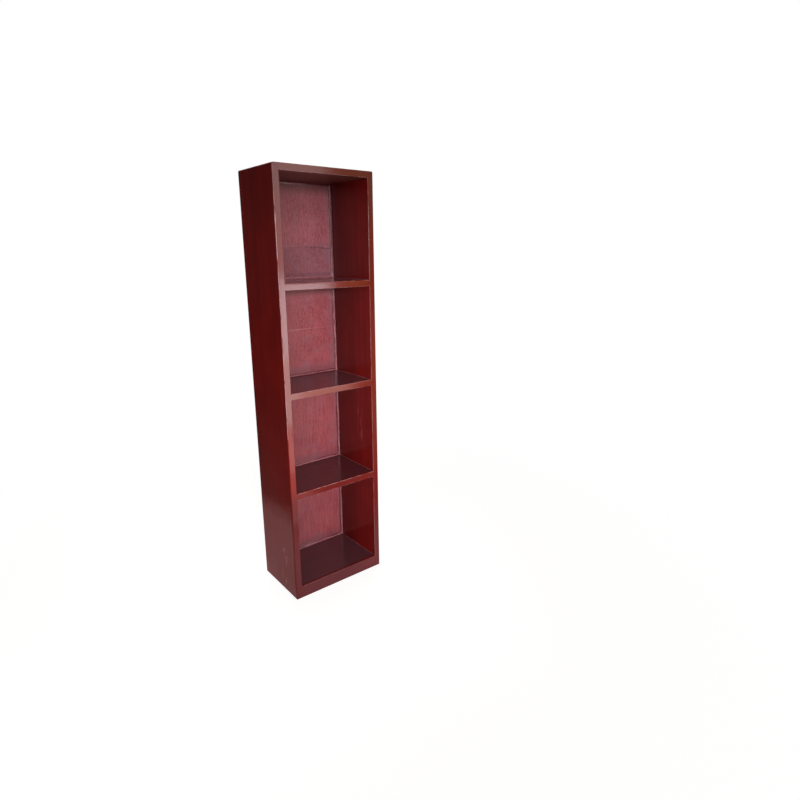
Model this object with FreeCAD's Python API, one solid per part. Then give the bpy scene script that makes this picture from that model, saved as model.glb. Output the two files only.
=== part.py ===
import FreeCAD, Part
import os

# A tall narrow bookcase with an open front: two full-height sides, a top, a bottom and three fixed
# shelves, housed in the sides and screwed through them, with a thin nailed back and lipped edges.
# Millimetres. +Z is up, +X is to the right seen from the front, and the open front faces -Y.
# The origin is on the floor, under the middle of the case.

# Overall size
WIDTH = 305.0
DEPTH = 203.0
HEIGHT = 1220.0

# Boards
SIDE_T = 18.0
TOP_T = 18.0
SHELF_T = 18.0
BOTTOM_T = 18.0
LIPPING_T = 8.0
SHELF_NAMES = ["lower", "middle", "upper"]
BAY_NAMES = ["bottom", "lower", "upper", "top"]

# Base: the top of the bottom panel above the floor, and the rails and glue blocks under it
BASE_H = 38.0
RAIL_T = 18.0
BLOCK_LEG = 24.0
BLOCK_FLOOR_GAP = 2.0

# Joints between the boards: how deep a board sits in a side, and the glue gap past its end
HOUSING_DEPTH = 6.0
HOUSING_END_GAP = 0.4

# Back panel and its rebate
BACK_T = 5.0
BACK_REBATE_W = 9.0
BACK_EDGE_GAP = 0.4
BACK_SETBACK = 1.0
BACK_FLOOR_GAP = 3.0

# Filler bead in the angle round the back panel of each bay: its two legs, and how far its hollow
# face is drawn in towards the corner
BEAD_LEG = 8.0
BEAD_WAIST = 3.0

# Eased edges: the two top corners of the case, the outlines of its front and rear, its foot, and the
# mouth of each bay
CORNER_R = 4.0
OUTER_R = 1.6
FOOT_R = 1.2
MOUTH_R = 1.2

# Wood screws through the sides, and the filler plugs over their heads
SCREW_L = 40.0
SCREW_HEAD_R = 4.0
SCREW_HEAD_H = 2.4
SCREW_SHANK_R = 2.0
SCREW_CORE_R = 1.35
SCREW_THREAD_START = 14.0
SCREW_PITCH = 1.8
SCREW_TIP = 4.0
SCREW_SLOT_W = 1.2
SCREW_SLOT_DEPTH = 1.2
SCREW_INSET = 40.0
PLUG_R = 4.5
PLUG_DEPTH = 3.0

# Flat-head nails through the back panel
NAIL_L = 20.0
NAIL_R = 0.8
NAIL_HEAD_R = 2.0
NAIL_HEAD_T = 0.7
NAIL_TIP = 2.5
NAILS_PER_BAY = 3
NAIL_SPREAD = 65.0

# Places worked out from the sizes above
x_out = WIDTH / 2
x_in = x_out - SIDE_T
x_board_end = x_in + HOUSING_DEPTH - HOUSING_END_GAP
y_front = -DEPTH / 2
y_board = y_front + LIPPING_T
y_rear = DEPTH / 2
y_back_out = y_rear - BACK_SETBACK
y_back_in = y_back_out - BACK_T
z_top_under = HEIGHT - TOP_T
z_back_top = z_top_under + BACK_REBATE_W
z_bottom_under = BASE_H - BOTTOM_T
bay_h = (z_top_under - BASE_H - len(SHELF_NAMES) * SHELF_T) / len(BAY_NAMES)
shelf_floors = {name: BASE_H + (i + 1) * bay_h + i * SHELF_T for i, name in enumerate(SHELF_NAMES)}
bay_floors = {name: BASE_H + i * (bay_h + SHELF_T) for i, name in enumerate(BAY_NAMES)}
board_centres = [z_bottom_under + BOTTOM_T / 2, HEIGHT - TOP_T / 2]
board_centres += [floor + SHELF_T / 2 for floor in shelf_floors.values()]


def block(x0, x1, y0, y1, z0, z1):
    """A box between two corners."""
    return Part.makeBox(x1 - x0, y1 - y0, z1 - z0, FreeCAD.Vector(x0, y0, z0))


def turned(outline):
    """A solid of revolution about Z from (radius, height) points that start and end on the axis."""
    points = [FreeCAD.Vector(r, 0, z) for r, z in outline]
    face = Part.Face(Part.makePolygon(points + points[:1]))
    return face.revolve(FreeCAD.Vector(), FreeCAD.Vector(0, 0, 1), 360)


def mirrored(shape):
    """The same shape on the other side of the case."""
    return shape.mirror(FreeCAD.Vector(), FreeCAD.Vector(1, 0, 0))


def eased_case():
    """The outside of the whole case as one block with its edges eased."""
    case = block(-x_out, x_out, y_front, y_rear, 0, HEIGHT)
    above_foot = [edge for edge in case.Edges if edge.BoundBox.ZMax > HEIGHT / 2]
    top_corners = [edge for edge in above_foot if edge.BoundBox.YLength > DEPTH / 2]
    case = case.makeFillet(CORNER_R, top_corners)
    above_foot = [edge for edge in case.Edges if edge.BoundBox.ZMax > HEIGHT / 2]
    front_and_rear = [edge for edge in above_foot if edge.BoundBox.YLength < DEPTH / 2]
    case = case.makeFillet(OUTER_R, front_and_rear)
    foot = [edge for edge in case.Edges if edge.BoundBox.ZMax < FOOT_R / 2]
    return case.makeFillet(FOOT_R, foot)


def bay(name, y0, y1):
    """The clear space of one bay between two depths."""
    floor = bay_floors[name]
    return block(-x_in, x_in, y0, y1, floor, floor + bay_h)


def lipped_front():
    """All the front edging as one frame, with the mouth of every bay eased."""
    frame = block(-x_out, x_out, y_front, y_board, 0, HEIGHT)
    frame = frame.cut([bay(name, y_front, y_board) for name in BAY_NAMES])
    mouths = []
    for edge in frame.Edges:
        box = edge.BoundBox
        at_front = box.YMax < y_front + MOUTH_R / 2
        inside = max(abs(box.XMin), abs(box.XMax)) < x_in + SIDE_T / 2
        inside = inside and box.ZMin > BASE_H / 2 and box.ZMax < HEIGHT - TOP_T / 2
        if at_front and inside:
            mouths.append(edge)
    return frame.makeFillet(MOUTH_R, mouths)


def screw_outline():
    """Half outline of a countersunk wood screw, head uppermost at height zero."""
    outline = [(0, 0), (SCREW_HEAD_R, 0), (SCREW_SHANK_R, -SCREW_HEAD_H)]
    outline.append((SCREW_SHANK_R, -SCREW_THREAD_START))
    z = -SCREW_THREAD_START
    while z - SCREW_PITCH > SCREW_TIP - SCREW_L:
        outline.append((SCREW_CORE_R, z - SCREW_PITCH / 2))
        z -= SCREW_PITCH
        outline.append((SCREW_SHANK_R, z))
    outline += [(SCREW_CORE_R, SCREW_TIP - SCREW_L), (0, -SCREW_L)]
    return outline


def screw():
    """A countersunk wood screw along Z with a cross slot, its thread as rings."""
    body = turned(screw_outline())
    for across, along in ((SCREW_SLOT_W, SCREW_HEAD_R), (SCREW_HEAD_R, SCREW_SLOT_W)):
        slot = block(-across / 2, across / 2, -along / 2, along / 2, -SCREW_SLOT_DEPTH, 0)
        body = body.cut(slot)
    return body


def screw_hole():
    """What the screw and its plug take out of the boards."""
    outline = [(0, 0), (SCREW_HEAD_R, 0), (SCREW_SHANK_R, -SCREW_HEAD_H)]
    outline += [(SCREW_SHANK_R, -SCREW_L), (0, -SCREW_L)]
    return turned(outline).fuse(plug())


def plug():
    """The filler over a screw head, seated on the head."""
    return Part.makeCylinder(PLUG_R, PLUG_DEPTH)


def nail():
    """A flat-head nail along Z, with the underside of its head at height zero."""
    outline = [(0, NAIL_HEAD_T), (NAIL_HEAD_R, NAIL_HEAD_T), (NAIL_HEAD_R, 0), (NAIL_R, 0)]
    outline += [(NAIL_R, NAIL_TIP - NAIL_L), (0, -NAIL_L)]
    return turned(outline)


def nail_hole():
    """What the nail takes out of the back panel and the board behind it."""
    outline = [(0, 0), (NAIL_R, 0), (NAIL_R, -NAIL_L), (0, -NAIL_L)]
    return turned(outline)


def at_screws(shape):
    """Copies of a shape, one at each screw of the right side, its Z axis turned to point out."""
    copies = []
    for z in board_centres:
        for y in (y_board + SCREW_INSET, y_back_in - SCREW_INSET):
            copy = shape.copy()
            copy.rotate(FreeCAD.Vector(), FreeCAD.Vector(0, 1, 0), 90)
            copy.translate(FreeCAD.Vector(x_out - PLUG_DEPTH, y, z))
            copies.append(copy)
    return copies


def at_nails(shape):
    """Copies of a shape, one at each nail of the back panel, its Z axis turned to point back."""
    x_rebate = x_in + BACK_REBATE_W / 2
    step = bay_h / NAILS_PER_BAY
    places = []
    for floor in bay_floors.values():
        heights = [floor + (i + 0.5) * step for i in range(NAILS_PER_BAY)]
        places += [(x, z) for z in heights for x in (-x_rebate, x_rebate)]
    rows = [z_bottom_under / 2, z_bottom_under + BOTTOM_T / 2, (z_top_under + z_back_top) / 2]
    rows += [floor + SHELF_T / 2 for floor in shelf_floors.values()]
    places += [(x, z) for z in rows for x in (-NAIL_SPREAD, NAIL_SPREAD)]
    copies = []
    for x, z in places:
        copy = shape.copy()
        copy.rotate(FreeCAD.Vector(), FreeCAD.Vector(1, 0, 0), -90)
        copy.translate(FreeCAD.Vector(x, y_back_out, z))
        copies.append(copy)
    return copies


def right_side(case, holes):
    """Right side board: housings for the shelves, rebates for the top and the back."""
    board = block(x_in, x_out, y_board, y_rear, 0, HEIGHT)
    x_floor = x_in + HOUSING_DEPTH
    cuts = [block(x_in, x_floor, y_board, y_rear, z_top_under, HEIGHT)]
    cuts.append(block(x_in, x_floor, y_board, y_back_in, z_bottom_under, BASE_H))
    for floor in shelf_floors.values():
        cuts.append(block(x_in, x_floor, y_board, y_back_in, floor, floor + SHELF_T))
    cuts.append(block(x_in, x_in + BACK_REBATE_W, y_back_in, y_rear, 0, z_back_top))
    return board.cut(cuts).common(case).cut(holes)


def top_panel(case, holes):
    """Top board, with a rebate along its rear edge for the back."""
    board = block(-x_board_end, x_board_end, y_board, y_rear, z_top_under, HEIGHT)
    rebate = block(-x_board_end, x_board_end, y_back_in, y_rear, z_top_under, z_back_top)
    return board.cut(rebate).common(case).cut(holes)


def housed_board(floor, thickness, holes):
    """A shelf or the bottom, from the lipping to the back panel."""
    board = block(-x_board_end, x_board_end, y_board, y_back_in, floor, floor + thickness)
    return board.cut(holes)


def back_panel(holes):
    """Thin sheet in the rebates of the sides and the top, just clear of the floor."""
    x_edge = x_in + BACK_REBATE_W - BACK_EDGE_GAP
    sheet = block(-x_edge, x_edge, y_back_in, y_back_out, BACK_FLOOR_GAP, z_back_top - BACK_EDGE_GAP)
    return sheet.cut(holes)


def bay_bead(name):
    """Ring of filler with a hollow face, in the angle round the back of one bay."""
    floor = bay_floors[name]
    wires = []
    for inset, depth in ((0, BEAD_LEG), (BEAD_WAIST, BEAD_WAIST), (BEAD_LEG, 0)):
        x, y = x_in - inset, y_back_in - depth
        low, high = floor + inset, floor + bay_h - inset
        corners = [(-x, low), (x, low), (x, high), (-x, high), (-x, low)]
        wires.append(Part.makePolygon([FreeCAD.Vector(cx, y, cz) for cx, cz in corners]))
    hollow = Part.makeLoft(wires, True, True)
    return bay(name, y_back_in - BEAD_LEG, y_back_in).cut(hollow)


def corner_block(y_corner, towards):
    """Triangular glue block in the right-hand corner of the base, running along Y as told."""
    corner = FreeCAD.Vector(x_in, y_corner, BLOCK_FLOOR_GAP)
    along_rail = corner + FreeCAD.Vector(-BLOCK_LEG, 0, 0)
    along_side = corner + FreeCAD.Vector(0, towards * BLOCK_LEG, 0)
    face = Part.Face(Part.makePolygon([corner, along_rail, along_side, corner]))
    return face.extrude(FreeCAD.Vector(0, 0, z_bottom_under - BLOCK_FLOOR_GAP))


def build():
    """Every piece of the case by its name."""
    case = eased_case()
    right_holes = at_screws(screw_hole())
    holes = right_holes + [mirrored(hole) for hole in right_holes] + at_nails(nail_hole())

    pieces = {"right_side": right_side(case, holes)}
    pieces["left_side"] = mirrored(pieces["right_side"])
    pieces["top_panel"] = top_panel(case, holes)
    pieces["bottom_panel"] = housed_board(z_bottom_under, BOTTOM_T, holes)
    for name, floor in shelf_floors.items():
        pieces[name + "_shelf"] = housed_board(floor, SHELF_T, holes)

    front = lipped_front().common(case)
    pieces["right_side_lipping"] = front.common(block(x_in, x_out, y_front, y_board, 0, HEIGHT))
    pieces["left_side_lipping"] = mirrored(pieces["right_side_lipping"])
    edges = {"top_lipping": (z_top_under, HEIGHT), "base_fascia": (0, BASE_H)}
    for name, floor in shelf_floors.items():
        edges[name + "_shelf_lipping"] = (floor, floor + SHELF_T)
    for name, (low, high) in edges.items():
        pieces[name] = front.common(block(-x_in, x_in, y_front, y_board, low, high))

    y_front_rail = y_board + RAIL_T
    y_rear_rail = y_back_in - RAIL_T
    pieces["front_base_rail"] = block(-x_in, x_in, y_board, y_front_rail, 0, z_bottom_under)
    rear_rail = block(-x_in, x_in, y_rear_rail, y_back_in, 0, z_bottom_under)
    pieces["rear_base_rail"] = rear_rail.cut(holes)
    blocks = [corner_block(y_front_rail, 1), corner_block(y_rear_rail, -1)]
    pieces["base_corner_blocks"] = Part.makeCompound(blocks + [mirrored(one) for one in blocks])

    pieces["back_panel"] = back_panel(holes)
    pieces["back_panel_nails"] = Part.makeCompound(at_nails(nail()))
    for name in BAY_NAMES:
        pieces[name + "_bay_bead"] = bay_bead(name)

    for name, shape in (("screws", screw()), ("plugs", plug())):
        right = at_screws(shape)
        pieces["right_side_" + name] = Part.makeCompound(right)
        pieces["left_side_" + name] = Part.makeCompound([mirrored(one) for one in right])
    return pieces


os.makedirs("parts", exist_ok=True)
for node, shape in build().items():
    shape.exportStep("parts/" + node + ".step")
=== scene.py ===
import math

import bmesh
import bpy
from mathutils import Matrix, Vector, noise


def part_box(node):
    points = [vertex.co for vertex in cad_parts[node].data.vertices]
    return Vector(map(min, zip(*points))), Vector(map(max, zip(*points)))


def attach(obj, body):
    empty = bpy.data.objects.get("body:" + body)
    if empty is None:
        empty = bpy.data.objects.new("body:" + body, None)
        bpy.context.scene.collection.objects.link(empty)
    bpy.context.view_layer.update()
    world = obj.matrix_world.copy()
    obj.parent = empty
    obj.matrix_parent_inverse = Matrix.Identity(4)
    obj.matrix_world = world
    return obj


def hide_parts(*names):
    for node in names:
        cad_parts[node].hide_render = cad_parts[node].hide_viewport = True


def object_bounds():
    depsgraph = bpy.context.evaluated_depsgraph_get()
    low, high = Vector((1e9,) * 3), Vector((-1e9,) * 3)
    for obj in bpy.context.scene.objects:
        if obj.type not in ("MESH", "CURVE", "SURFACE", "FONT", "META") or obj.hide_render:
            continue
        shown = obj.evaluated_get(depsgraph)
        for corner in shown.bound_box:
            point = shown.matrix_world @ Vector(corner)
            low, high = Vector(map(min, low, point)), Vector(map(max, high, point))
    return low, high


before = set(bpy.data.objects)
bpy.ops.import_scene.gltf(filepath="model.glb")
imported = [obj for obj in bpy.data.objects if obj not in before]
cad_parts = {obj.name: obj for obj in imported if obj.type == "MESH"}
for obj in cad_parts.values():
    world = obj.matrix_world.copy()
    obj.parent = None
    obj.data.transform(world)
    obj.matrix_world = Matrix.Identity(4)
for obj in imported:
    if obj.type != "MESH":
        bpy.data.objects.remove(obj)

cad_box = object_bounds()


# Sides
# Two full-height boards, sprayed deep red in a lacquer that hides nearly all of the wood. The whole
# case hangs between them. Dust lies over their feet outside, and the left one is scuffed by kicks;
# the pale foot also holds a painted reflection of the floor. Inside, painted shade darkens them
# towards the back and painted light brightens them towards the front, with a painted reflection of
# the back panel high in the rear corner and a painted shadow line by the bead.
OUTSIDE = cad_box[1].x
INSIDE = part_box("right_side")[0].x
BACK_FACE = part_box("back_panel")[0].y


def paint(red, green, blue):
    """A colour as it looks on a screen, 0 to 255, made linear by the sRGB curve."""
    linear = []
    for level in (red, green, blue):
        share = level / 255
        linear.append(share / 12.92 if share <= 0.04045 else ((share + 0.055) / 1.055) ** 2.4)
    return (*linear, 1.0)


def source(tree, kind, **settings):
    """Adds a shader node, with its settings."""
    node = tree.nodes.new("ShaderNode" + kind)
    for name, value in settings.items():
        setattr(node, name, value)
    return node


def put(kind, inputs, **settings):
    """Adds a node to the tree its inputs come from, and fills its sockets with values or with links."""
    tree = next(value.id_data for value in inputs.values() if isinstance(value, bpy.types.NodeSocket))
    node = source(tree, kind, **settings)
    for name, value in inputs.items():
        if isinstance(value, bpy.types.NodeSocket):
            tree.links.new(value, node.inputs[name])
        else:
            node.inputs[name].default_value = value
    return node


def axes(vector):
    """A vector taken apart into its X, Y and Z."""
    return put("SeparateXYZ", {0: vector}).outputs


def calc(operation, *values):
    """Arithmetic on numbers or sockets."""
    return put("Math", dict(enumerate(values)), operation=operation).outputs[0]


def times(*values):
    """The product of numbers or sockets."""
    product = values[0]
    for value in values[1:]:
        product = calc("MULTIPLY", product, value)
    return product


def apart(value, middle):
    """How far a value lies from a middle one, either way."""
    return calc("ABSOLUTE", calc("SUBTRACT", value, middle))


def fade(value, start, end):
    """A smooth mask, 0 where the value is at start and 1 where it is at end."""
    limits = {"Value": value, "From Min": start, "From Max": end}
    return put("MapRange", limits, interpolation_type="SMOOTHSTEP").outputs["Result"]


def span(value, low, high):
    """A 0 to 1 value spread over another range."""
    return put("MapRange", {"Value": value, "To Min": low, "To Max": high}).outputs["Result"]


def tint(share, first, second, mode="MIX"):
    """One colour laid over another."""
    sockets = {0: share, 6: first, 7: second}
    return put("Mix", sockets, data_type="RGBA", blend_type=mode).outputs[2]


def stretch(position, scales):
    """A position drawn out along the axes, so that a pattern on it runs long."""
    return put("VectorMath", {0: position, 1: scales}, operation="MULTIPLY").outputs[0]


def cloud(position, scale, detail=2.0, distortion=0.0):
    """Soft noise from 0 to 1."""
    values = {"Vector": position, "Scale": scale, "Detail": detail, "Distortion": distortion}
    return put("TexNoise", values).outputs[0]


def start_group(name, inputs, outputs):
    """A new node group with named sockets; gives its tree and its inner ends."""
    tree = bpy.data.node_groups.new(name, "ShaderNodeTree")
    for sockets, way in ((inputs, "INPUT"), (outputs, "OUTPUT")):
        for socket, kind in sockets.items():
            tree.interface.new_socket(socket, in_out=way, socket_type="NodeSocket" + kind)
    return tree, tree.nodes.new("NodeGroupInput").outputs, tree.nodes.new("NodeGroupOutput").inputs


def fill_group(group, inputs):
    """Places a node group and fills its sockets."""
    return put("Group", inputs, node_tree=group).outputs


FIGURE_SCALE = 45.0
FIBRE_SCALE = 620.0


def grain_group():
    """Wood under a finish: broad figure and fine fibre, both long on one axis."""
    tree, given, made = start_group("wood grain", {"Position": "Vector", "Along": "Vector"},
                                    {"Figure": "Float", "Fibre": "Float"})
    drawn = stretch(given["Position"], given["Along"])
    tree.links.new(cloud(drawn, FIGURE_SCALE, detail=3.0, distortion=0.8), made["Figure"])
    tree.links.new(cloud(drawn, FIBRE_SCALE), made["Fibre"])
    return tree


FILM_SCALE = 9.0
WIPE_SCALE = 38.0
WIPE_DRAWN = (1.0, 1.0, 0.35)
PEEL_SCALE = 260.0


def film_group():
    """A sprayed film: uneven depth of colour, wiping smears and a faint orange peel."""
    tree, given, made = start_group("lacquer film", {"Position": "Vector"},
                                    {"Depth": "Float", "Smear": "Float", "Peel": "Float"})
    position = given["Position"]
    tree.links.new(cloud(position, FILM_SCALE, detail=3.0, distortion=0.4), made["Depth"])
    wiped = stretch(position, WIPE_DRAWN)
    tree.links.new(cloud(wiped, WIPE_SCALE, detail=4.0, distortion=1.2), made["Smear"])
    tree.links.new(cloud(position, PEEL_SCALE, detail=1.0), made["Peel"])
    return tree


wood_grain = grain_group()
lacquer_film = film_group()


def start_material(name):
    """A new material with its shader; gives both and the place on the object."""
    material = bpy.data.materials.new(name)
    material.use_nodes = True
    shader = material.node_tree.nodes["Principled BSDF"]
    position = source(material.node_tree, "TexCoord").outputs["Object"]
    return material, shader, position


def join(value, node, name):
    """Links a value to a named socket of a node."""
    value.id_data.links.new(value, node.inputs[name])


def bump(shader, height, distance):
    """Gives the shader a fine relief."""
    values = {"Height": height, "Distance": distance}
    join(put("Bump", values).outputs["Normal"], shader, "Normal")


DEEP_RED = paint(126, 24, 20)
DARK_RED = paint(110, 19, 16)
RED_SPREAD = (0.36, 0.64)
FIGURE_PART = 0.55
BOARD_ROUGHNESS = (0.16, 0.28)
FIBRE_RELIEF = 0.5
PEEL_HEIGHT = 0.00012


def lacquered_board(name, along):
    """Deep red lacquer on a board whose grain is long on one axis; gives what a caller may add to."""
    material, shader, position = start_material(name)
    grain = fill_group(wood_grain, {"Position": position, "Along": along})
    film = fill_group(lacquer_film, {"Position": position})
    figure = times(grain["Figure"], FIGURE_PART)
    uneven = calc("ADD", figure, times(film["Depth"], 1 - FIGURE_PART))
    red = tint(fade(uneven, *RED_SPREAD), DARK_RED, DEEP_RED)
    roughness = span(film["Smear"], *BOARD_ROUGHNESS)
    relief = calc("ADD", film["Peel"], times(grain["Fibre"], FIBRE_RELIEF))
    bump(shader, relief, PEEL_HEIGHT)
    return material, shader, position, red, roughness


def spot(place, centre, reach):
    """A soft spot on a side, by its depth in the case and its height."""
    share = 1.0
    for axis, middle, limit in zip("YZ", centre, reach):
        share = times(share, fade(apart(place[axis], middle), limit, limit / 3))
    return share


SCUFF_PALE = paint(194, 134, 124)
SCUFFS = ((-0.032, 0.128), (-0.046, 0.107), (-0.014, 0.041), (-0.036, 0.039))
SCUFF_REACH = (0.006, 0.022)
SCUFF_SCALE = 190.0
SCUFF_DRAWN = (1.0, 1.0, 0.3)
SCUFF_SPREAD = (0.4, 0.65)


def scuff_dashes(place, position, outside):
    """Short upright dashes where the foot of the left side gets kicked."""
    kicked = 0.0
    for scuff_place in SCUFFS:
        kicked = calc("MAXIMUM", kicked, spot(place, scuff_place, SCUFF_REACH))
    on_left = times(outside, fade(place["X"], 0.0, -INSIDE))
    dashes = cloud(stretch(position, SCUFF_DRAWN), SCUFF_SCALE, distortion=0.5)
    return times(kicked, on_left, fade(dashes, *SCUFF_SPREAD))


RUB_PALE = paint(180, 80, 76)
RUB_PLACE = (-0.034, 0.475)
RUB_REACH = (0.016, 0.064)
RUB_SCALE = 160.0
RUB_DRAWN = (1.0, 1.0, 0.08)
RUB_SPREAD = (0.46, 0.6)


def rub_streaks(place, position):
    """Upright streaks rubbed into the right side's inner face, in the lower bay."""
    streaks = fade(cloud(stretch(position, RUB_DRAWN), RUB_SCALE), *RUB_SPREAD)
    on_right = fade(place["X"], 0.0, INSIDE)
    return times(streaks, spot(place, RUB_PLACE, RUB_REACH), on_right)


UPRIGHT_GRAIN = (1.0, 1.0, 0.03)
OUTER_SKIN = (OUTSIDE - 0.009, OUTSIDE - 0.004)
# Dust on the outer foot, which also carries a painted reflection of the floor.
FOOT_DUST_AND_REFLECTION = paint(196, 124, 124)
DUST_AND_REFLECTION_TOP = 0.3
DUST_AND_REFLECTION_FULL = 0.215
DUST_AND_REFLECTION_SHARE = 0.36
DRIFT_SCALE = 16.0
DRIFT_REACH = 0.08


def outer_wear_and_reflection(red, place, position, outside):
    """Dust and a painted reflection of the floor, thinning out upwards over the outer foot, with scuffs.
    """
    drift = times(cloud(position, DRIFT_SCALE, detail=4.0), DRIFT_REACH)
    level = calc("ADD", place["Z"], drift)
    low = fade(level, DUST_AND_REFLECTION_TOP + DRIFT_REACH / 2, DUST_AND_REFLECTION_FULL + DRIFT_REACH / 2)
    # Painted reflection of the floor, mixed with the dust.
    dusty_and_lit = tint(times(low, outside, DUST_AND_REFLECTION_SHARE), red, FOOT_DUST_AND_REFLECTION)
    return tint(scuff_dashes(place, position, outside), dusty_and_lit, SCUFF_PALE)


# Painted shade and light on the inner faces: darker towards the back, lighter towards the front.
INNER_SHADE_REACH = (0.18, 0.01)
INNER_SHADE_TONES = (1.22, 0.69)
# Painted reflection of the back panel: a mauve haze on the inner face near the back, high up.
CORNER_REFLECTION = paint(116, 58, 66)
CORNER_REFLECTION_REACH = (0.034, 0.012)
CORNER_REFLECTION_HEIGHTS = (0.8, 1.0)
CORNER_REFLECTION_SHARE = 0.42
# Painted shadow: a dark line on the inner face just in front of the bead.
CORNER_SHADOW = paint(34, 7, 8)
CORNER_SHADOW_AT = 0.0095
CORNER_SHADOW_REACH = (0.0035, 0.001)
CORNER_SHADOW_SHARE = 0.6


def inner_wear_and_light(red, place, position, inside):
    """Rubbed streaks; painted shade towards the back and painted light towards the front; a mauve
    haze painted in for the back panel's reflection; and a painted shadow line by the bead.
    """
    rubbed = times(inside, rub_streaks(place, position))
    streaked = tint(rubbed, red, RUB_PALE)
    from_back = calc("SUBTRACT", BACK_FACE, place["Y"])
    # Painted shade towards the back and painted light towards the front.
    painted_shade = span(fade(from_back, *INNER_SHADE_REACH), *INNER_SHADE_TONES)
    shaded_inside = tint(inside, streaked, painted_shade, mode="MULTIPLY")
    # Painted reflection of the back panel, near the rear corner and high up.
    high = span(fade(place["Z"], *CORNER_REFLECTION_HEIGHTS), 0.0, CORNER_REFLECTION_SHARE)
    haze = times(inside, fade(from_back, *CORNER_REFLECTION_REACH), high)
    hazed = tint(haze, shaded_inside, CORNER_REFLECTION)
    # Painted shadow line just in front of the bead.
    line = fade(apart(from_back, CORNER_SHADOW_AT), *CORNER_SHADOW_REACH)
    return tint(times(inside, line, CORNER_SHADOW_SHARE), hazed, CORNER_SHADOW)


OUTER_DULLNESS = 0.08
INNER_COAT = 0.5
COAT_ROUGHNESS = 0.12
SIDE_SHEEN = 0.12


def side_lacquer():
    """The board lacquer, polished inside, with the wear of both faces and the light and shade
    painted on them.
    """
    material, shader, position, red, roughness = lacquered_board("side_lacquer", UPRIGHT_GRAIN)
    place = axes(position)
    outside = fade(calc("ABSOLUTE", place["X"]), *OUTER_SKIN)
    inside = calc("SUBTRACT", 1.0, outside)
    kicked = outer_wear_and_reflection(red, place, position, outside)
    join(inner_wear_and_light(kicked, place, position, inside), shader, "Base Color")
    dull = calc("ADD", roughness, times(outside, OUTER_DULLNESS))
    join(dull, shader, "Roughness")
    join(span(outside, INNER_COAT, 0.0), shader, "Coat Weight")
    shader.inputs["Coat Roughness"].default_value = COAT_ROUGHNESS
    shader.inputs["Specular IOR Level"].default_value = SIDE_SHEEN
    return material


def dress(node, material):
    """Gives a piece of the frame its finish."""
    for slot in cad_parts[node].material_slots:
        slot.material = material


SIDE_LACQUER = side_lacquer()
for node in ("left_side", "right_side"):
    dress(node, SIDE_LACQUER)


# Shelves, bottom and top
# Boards between the sides, lacquered before the back goes on and polished to a mirror on top. Their
# grain runs across the case. The top is sprayed thinly underneath, and the bottom is nearly bare there.
# The tops of the shelves and the bottom are painted darker as shade, and the dusting on them also
# holds a painted sheen.
LEVEL_GRAIN = (0.03, 1.0, 1.0)
BARE_WOOD = paint(196, 160, 118)
# Dusting on the tops of the boards, which also stands in for a painted sheen.
SHELF_DUST_AND_SHEEN = paint(150, 132, 150)
# Painted shade on the upward faces of the boards in the bays.
SHELF_TOP_SHADE = paint(62, 12, 14)
FACING_FROM = 0.5
FACING_FULL = 0.9
SHELF_POLISH = (0.6, 0.4)


def shelf_lacquer(name, dust_and_painted_sheen, depth=0.6, sheen=0.5, dull_below=0.0, haze_below=0.0, bare_below=0.0):
    """The board lacquer, polished on top, where depth sets the painted shade and the dusting holds a
    painted sheen; below it may be dull or hazed, or give way to bare wood.
    """
    material, shader, position, red, roughness = lacquered_board(name, LEVEL_GRAIN)
    facing = axes(source(material.node_tree, "NewGeometry").outputs["Normal"])["Z"]
    above = fade(facing, FACING_FROM, FACING_FULL)
    below = fade(facing, -FACING_FROM, -FACING_FULL)
    # Painted shade: the upward faces darker, by the share depth.
    deep = tint(times(above, depth), red, SHELF_TOP_SHADE)
    # Dusting on top, with a painted sheen in it; haze underneath.
    settled = calc("ADD", times(above, dust_and_painted_sheen), times(below, haze_below))
    dusty_and_lit = tint(settled, deep, SHELF_DUST_AND_SHEEN)
    bared = tint(times(below, bare_below), dusty_and_lit, BARE_WOOD)
    join(bared, shader, "Base Color")
    polished = times(roughness, span(above, *SHELF_POLISH))
    join(calc("ADD", polished, times(below, dull_below)), shader, "Roughness")
    shader.inputs["Specular IOR Level"].default_value = sheen
    return material


dress("upper_shelf", shelf_lacquer("upper_shelf_lacquer", dust_and_painted_sheen=0.4))
dress("middle_shelf", shelf_lacquer("middle_shelf_lacquer", dust_and_painted_sheen=0.21))
dress("lower_shelf", shelf_lacquer("lower_shelf_lacquer", dust_and_painted_sheen=0.1))
dress("top_panel", shelf_lacquer("top_lacquer", dust_and_painted_sheen=0.05, depth=0.0, sheen=0.15, dull_below=0.25,
                                 haze_below=0.12, bare_below=0.12))
dress("bottom_panel", shelf_lacquer("bottom_lacquer", dust_and_painted_sheen=0.17, dull_below=0.5, bare_below=0.9))


# Base rails and glue blocks
# Sawn softwood under the bottom panel: a rail behind the base's front and one at the rear, with blocks
# glued into their corners. All of it is out of sight and left bare.
SAWN_GRAIN = (0.05, 1.0, 1.0)
SAWN_WOOD = paint(190, 152, 108)
SAWN_WOOD_DARK = paint(150, 110, 70)
SAWN_SPREAD = (0.35, 0.65)
SAWN_FIBRE_SHARE = 0.4
SAWN_ROUGHNESS = (0.7, 0.9)
SAWN_RELIEF = 0.0003


def sawn_wood():
    """Bare softwood with its grain across the case."""
    material, shader, position = start_material("sawn_wood")
    grain = fill_group(wood_grain, {"Position": position, "Along": SAWN_GRAIN})
    bands = fade(grain["Figure"], *SAWN_SPREAD)
    wood = tint(bands, SAWN_WOOD, SAWN_WOOD_DARK)
    fibre = span(grain["Fibre"], 0.0, SAWN_FIBRE_SHARE)
    join(tint(fibre, wood, SAWN_WOOD_DARK), shader, "Base Color")
    join(span(grain["Fibre"], *SAWN_ROUGHNESS), shader, "Roughness")
    bump(shader, grain["Fibre"], SAWN_RELIEF)
    return material


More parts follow.
